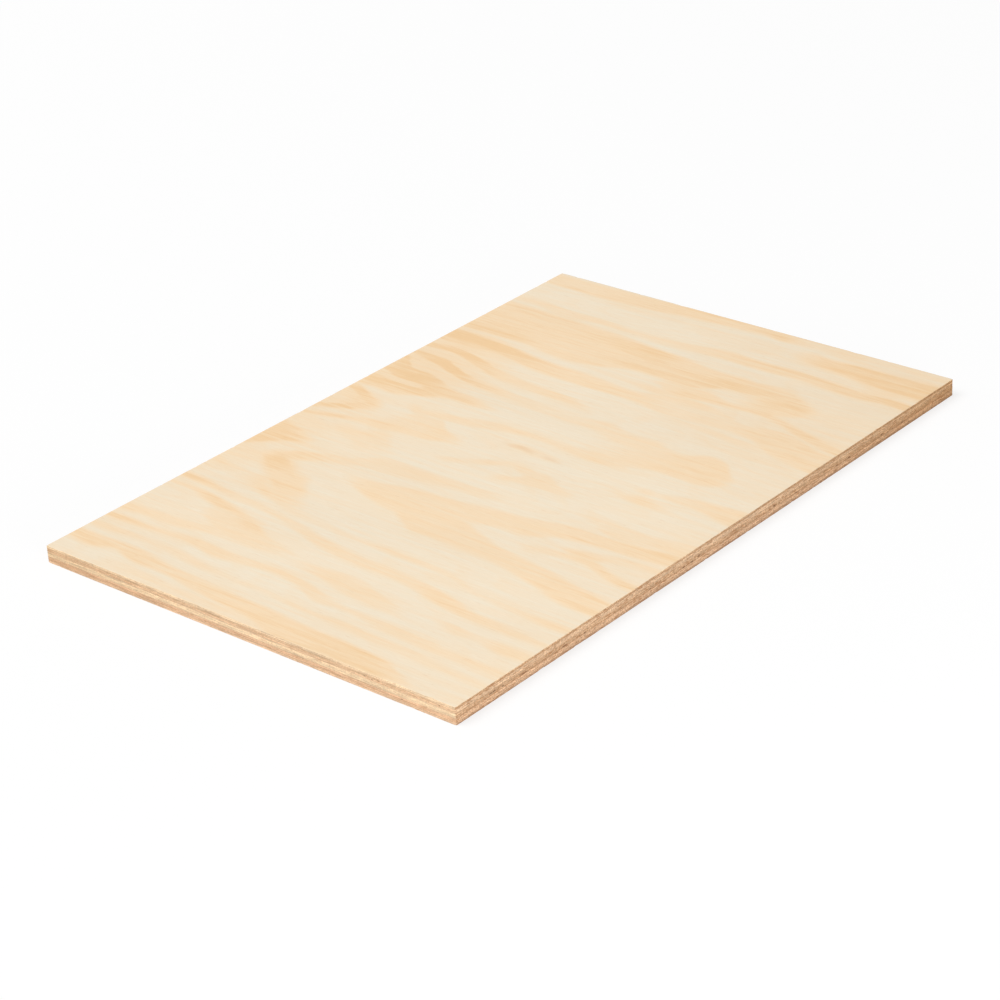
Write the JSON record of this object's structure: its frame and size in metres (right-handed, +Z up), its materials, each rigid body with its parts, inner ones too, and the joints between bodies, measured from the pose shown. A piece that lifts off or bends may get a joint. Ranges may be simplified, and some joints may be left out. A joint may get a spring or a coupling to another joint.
{
  "type": "plywood sheet",
  "caption": "Softwood plywood sheet, unfinished: pale face veneer with soft rotary-cut grain across its length, and sawn edges that show the crossed plies.",
  "frame": {"origin": "the middle of the sheet's underside, on the floor it lies on", "axes": "+Z up through the plies, +X along the long side, +Y along the short side and the face grain"},
  "size_m": [0.91, 0.6, 0.021],
  "materials": {
    "outer_veneer": "sanded bare pine veneer",
    "crossband": "sawn bare pine veneer",
    "core": "sawn bare pine veneer"
  },
  "bodies": {
    "root": {"back_veneer": "outer_veneer", "lower_crossband": "crossband", "core_veneer": "core", "upper_crossband": "crossband", "face_veneer": "outer_veneer"}
  },
  "joints": []
}
